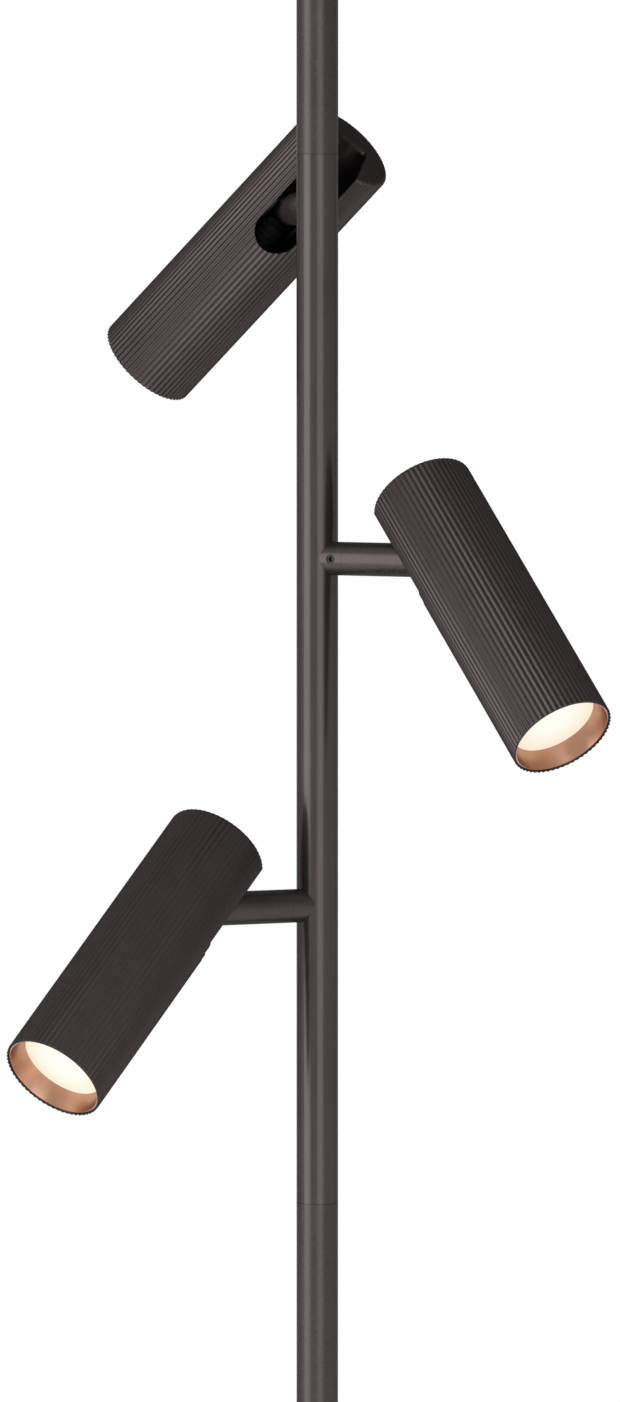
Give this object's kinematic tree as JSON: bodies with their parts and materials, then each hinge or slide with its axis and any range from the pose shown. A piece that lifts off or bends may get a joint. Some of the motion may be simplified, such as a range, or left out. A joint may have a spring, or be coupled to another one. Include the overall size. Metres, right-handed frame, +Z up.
{
  "type": "tension pole lamp",
  "caption": "Floor-to-ceiling sprung pole lamp with fluted spot heads on short swivel arms that roll and tilt.",
  "frame": {"origin": "centre of the foot's contact face on the floor, on the pole's axis", "axes": "+Z up the pole to the ceiling, -Y towards the viewer of the picture, +X to the viewer's right"},
  "size_m": [0.3618, 0.3457, 2.42],
  "materials": {
    "bronze_tube": "satin dark bronze plating, fine brushed along the tube",
    "bronze_head": "satin dark bronze, fluted",
    "copper": "spun and polished, copper colour",
    "frosted_lens": "frosted",
    "lamp_glass": "satin",
    "black_moulding": "matt",
    "zinc_steel": "zinc plated",
    "black_steel": "black satin",
    "spring_steel": "oiled",
    "nylon": "matt",
    "rubber": "matt",
    "lead_cover": "semi-matt"
  },
  "bodies": {
    "pole": {"foot": "bronze_tube", "floor_pad": "rubber", "lower_pole": "bronze_tube", "cord_grommet": "rubber", "lower_coupler": "zinc_steel", "lamp_pole": "bronze_tube", "terminal_block": "black_moulding", "lamp_leads": "lead_cover", "upper_coupler": "zinc_steel", "upper_pole": "bronze_tube", "guide_bush": "nylon", "tension_spring": "spring_steel", "collar_screws": "black_steel", "upper_collar": "bronze_tube", "middle_collar": "bronze_tube", "lower_collar": "bronze_tube"},
    "plunger": {"plunger_piston": "nylon", "plunger_tube": "bronze_tube", "ceiling_plate": "bronze_tube", "ceiling_pad": "rubber"},
    "upper_arm": {"upper_arm_tube": "bronze_tube", "upper_swivel_stem": "zinc_steel", "upper_knuckle": "bronze_tube", "upper_arm_lead": "lead_cover"},
    "upper_head": {"upper_housing": "bronze_head", "upper_bracket": "black_steel", "upper_pivot_screw": "zinc_steel", "upper_friction_washers": "nylon", "upper_lampholder": "black_moulding", "upper_lamp": "lamp_glass", "upper_lens": "frosted_lens", "upper_baffle": "copper"},
    "middle_arm": {"middle_arm_tube": "bronze_tube", "middle_swivel_stem": "zinc_steel", "middle_knuckle": "bronze_tube", "middle_arm_lead": "lead_cover"},
    "middle_head": {"middle_housing": "bronze_head", "middle_bracket": "black_steel", "middle_pivot_screw": "zinc_steel", "middle_friction_washers": "nylon", "middle_lampholder": "black_moulding", "middle_lamp": "lamp_glass", "middle_lens": "frosted_lens", "middle_baffle": "copper"},
    "lower_arm": {"lower_arm_tube": "bronze_tube", "lower_swivel_stem": "zinc_steel", "lower_knuckle": "bronze_tube", "lower_arm_lead": "lead_cover"},
    "lower_head": {"lower_housing": "bronze_head", "lower_bracket": "black_steel", "lower_pivot_screw": "zinc_steel", "lower_friction_washers": "nylon", "lower_lampholder": "black_moulding", "lower_lamp": "lamp_glass", "lower_lens": "frosted_lens", "lower_baffle": "copper"}
  },
  "joints": [
    {"name": "plunger_slide", "type": "slide", "parent": "pole", "child": "plunger", "axis": [0, 0, 1], "range_m": [-0.06, 0.02], "stiffness_N_per_m": 1200, "springref_m": 0.00382, "deforming": ["tension_spring"]},
    {"name": "upper_arm_roll", "type": "hinge", "parent": "pole", "child": "upper_arm", "pos_m": [0, 0, 1.5867], "axis": [-0.1685, 0.9857, 0], "range_deg": [-199.1, 120.9]},
    {"name": "upper_head_tilt", "type": "hinge", "parent": "upper_arm", "child": "upper_head", "pos_m": [-0.01702, 0.09956, 1.5867], "axis": [0.765, 0.1308, -0.6307], "range_deg": [-42.3, 59.7]},
    {"name": "middle_arm_roll", "type": "hinge", "parent": "pole", "child": "middle_arm", "pos_m": [0, 0, 1.3741], "axis": [0.8572, -0.515, 0], "range_deg": [-139.6, 180.4]},
    {"name": "middle_head_tilt", "type": "hinge", "parent": "middle_arm", "child": "middle_head", "pos_m": [0.08657, -0.05202, 1.3741], "axis": [-0.4827, -0.8034, 0.3486], "range_deg": [-52.3, 49.7]},
    {"name": "lower_arm_roll", "type": "hinge", "parent": "pole", "child": "lower_arm", "pos_m": [0, 0, 1.1623], "axis": [-0.8738, -0.4863, 0], "range_deg": [-181.4, 138.6]},
    {"name": "lower_head_tilt", "type": "hinge", "parent": "lower_arm", "child": "lower_head", "pos_m": [-0.08825, -0.04912, 1.1623], "axis": [-0.4528, 0.8135, -0.3649], "range_deg": [-56.8, 45.2]}
  ]
}
